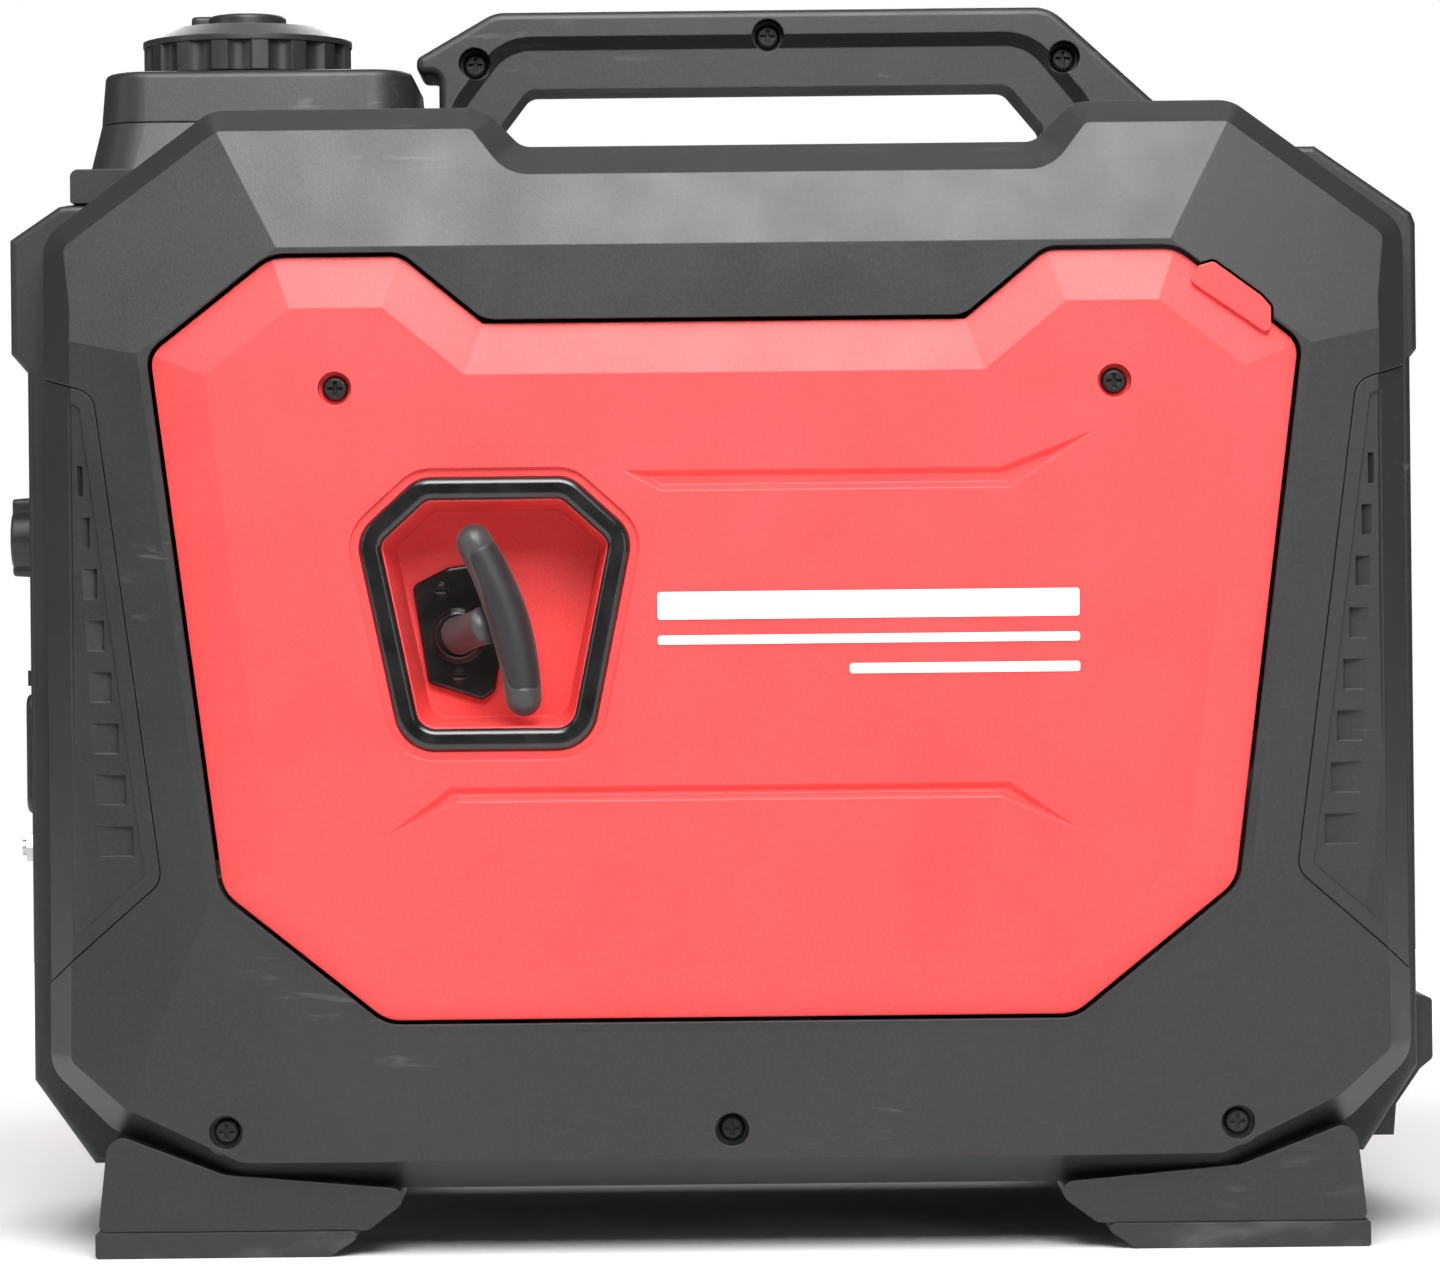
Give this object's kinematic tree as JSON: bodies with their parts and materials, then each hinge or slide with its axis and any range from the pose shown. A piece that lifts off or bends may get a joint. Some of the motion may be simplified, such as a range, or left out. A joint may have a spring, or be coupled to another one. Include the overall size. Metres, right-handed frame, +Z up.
{
  "type": "inverter generator",
  "caption": "Portable inverter generator with moulded side frames, red side panels, recoil starter, carrying handle, fuel cap and control panel end.",
  "frame": {"origin": "on the ground below the middle of the machine's box", "axes": "+X towards the exhaust end, -Y towards the recoil starter side, +Z up"},
  "size_m": [0.536, 0.31, 0.465],
  "materials": {
    "frame_plastic": "fine texture",
    "red_plastic": "satin",
    "black_gloss": "glossy",
    "black_plastic": "satin",
    "grip_rubber": "soft satin",
    "foot_rubber": "matte",
    "screw_steel": "black oxide",
    "socket_plastic": "satin",
    "lens": "clear",
    "zinc_steel": "zinc plated",
    "cast_aluminium": "as cast",
    "copper_stack": "varnished",
    "hot_steel": "heat stained",
    "rope_cord": "braided",
    "tank_plastic": "natural",
    "ceramic": "glazed",
    "spring_steel": "oiled"
  },
  "bodies": {
    "housing": {"side_frame_left": "frame_plastic", "side_frame_right": "frame_plastic", "side_panel_left": "red_plastic", "side_panel_right": "red_plastic", "vent_insert_left_front": "frame_plastic", "vent_insert_left_rear": "frame_plastic", "vent_insert_right_front": "frame_plastic", "vent_insert_right_rear": "frame_plastic", "frame_screws": "screw_steel", "panel_screws": "screw_steel", "starter_trim_ring": "black_gloss", "starter_guide_plate": "black_gloss", "starter_rope": "rope_cord", "recoil_housing": "zinc_steel", "recoil_spring": "spring_steel", "stator": "copper_stack", "fan_shroud": "black_plastic", "crankcase": "cast_aluminium", "cylinder": "cast_aluminium", "cylinder_head": "cast_aluminium", "spark_plug": "ceramic", "carburetor": "cast_aluminium", "air_cleaner": "black_plastic", "engine_mounts": "foot_rubber", "muffler": "hot_steel", "exhaust_outlet": "hot_steel", "front_cover": "frame_plastic", "rear_cover": "frame_plastic", "rear_bumper": "black_plastic", "control_panel": "black_plastic", "indicator_lights": "lens", "usb_socket": "black_gloss", "dc_socket": "black_plastic", "parallel_ports": "black_gloss", "ac_socket_left": "socket_plastic", "ac_socket_right": "socket_plastic", "ground_terminal": "zinc_steel", "top_cover": "frame_plastic", "fuel_collar": "frame_plastic", "fuel_tank": "tank_plastic", "handle_shell_left": "frame_plastic", "handle_shell_right": "frame_plastic", "handle_screws": "screw_steel", "base_pan": "black_plastic", "foot_pads": "foot_rubber", "inverter_module": "cast_aluminium"},
    "starter_pull": {"starter_grip": "grip_rubber"},
    "recoil_spool": {"recoil_pulley": "black_plastic"},
    "rotating_group": {"crankshaft": "zinc_steel", "cooling_fan": "black_plastic", "flywheel_rotor": "zinc_steel"},
    "engine_knob": {"engine_knob": "black_plastic"},
    "eco_switch": {"eco_switch": "black_gloss"},
    "dc_breaker_button": {"dc_breaker_button": "black_gloss"},
    "ac_breaker_button": {"ac_breaker_button": "black_gloss"},
    "socket_cover_left": {"socket_cover_left": "socket_plastic"},
    "socket_cover_right": {"socket_cover_right": "socket_plastic"},
    "fuel_cap_core": {"fuel_cap_core": "black_plastic"},
    "fuel_cap": {"fuel_cap": "frame_plastic"},
    "vent_knob": {"vent_knob": "frame_plastic"}
  },
  "joints": [
    {"name": "starter_pull", "type": "slide", "parent": "housing", "child": "starter_pull", "axis": [0, -1, 0], "range_m": [0, 0.5], "stiffness_N_per_m": 10, "deforming": ["starter_rope"]},
    {"name": "recoil_spool", "type": "hinge", "parent": "housing", "child": "recoil_spool", "pos_m": [-0.02, 0, 0.1825], "axis": [0, -1, 0], "range_deg": [0, 690]},
    {"name": "crankshaft_spin", "type": "hinge", "parent": "housing", "child": "rotating_group", "pos_m": [-0.02, 0, 0.1825], "axis": [0, -1, 0], "continuous": true},
    {"name": "engine_knob_turn", "type": "hinge", "parent": "housing", "child": "engine_knob", "pos_m": [-0.2536, -0.06, 0.262], "axis": [-1, 0, 0], "range_deg": [0, 90]},
    {"name": "eco_switch_rock", "type": "hinge", "parent": "housing", "child": "eco_switch", "pos_m": [-0.255, -0.014, 0.262], "axis": [0, -1, 0], "range_deg": [0, 16]},
    {"name": "dc_breaker_push", "type": "slide", "parent": "housing", "child": "dc_breaker_button", "axis": [1, 0, 0], "range_m": [0, 0.002], "stiffness_N_per_m": 400},
    {"name": "ac_breaker_push", "type": "slide", "parent": "housing", "child": "ac_breaker_button", "axis": [1, 0, 0], "range_m": [0, 0.002], "stiffness_N_per_m": 400},
    {"name": "fuel_cap_lift", "type": "slide", "parent": "housing", "child": "fuel_cap_core", "axis": [0, 0, 1], "range_m": [0, 0.06]},
    {"name": "fuel_cap_turn", "type": "hinge", "parent": "fuel_cap_core", "child": "fuel_cap", "pos_m": [-0.1825, 0, 0.44], "axis": [0, 0, 1], "range_deg": [0, 180]},
    {"name": "vent_knob_turn", "type": "hinge", "parent": "fuel_cap", "child": "vent_knob", "pos_m": [-0.1825, 0, 0.44], "axis": [0, 0, 1], "range_deg": [0, 90]},
    {"name": "socket_cover_left_hinge", "type": "hinge", "parent": "housing", "child": "socket_cover_left", "pos_m": [-0.26, 0.042, 0.21], "axis": [0, 1, 0], "range_deg": [0, 100], "stiffness_Nm_per_rad": 0.02},
    {"name": "socket_cover_right_hinge", "type": "hinge", "parent": "housing", "child": "socket_cover_right", "pos_m": [-0.26, -0.042, 0.21], "axis": [0, 1, 0], "range_deg": [0, 100], "stiffness_Nm_per_rad": 0.02}
  ],
  "couplings": [
    {"joint": "recoil_spool", "follows": "starter_pull", "rad_per_m": 23.81}
  ]
}
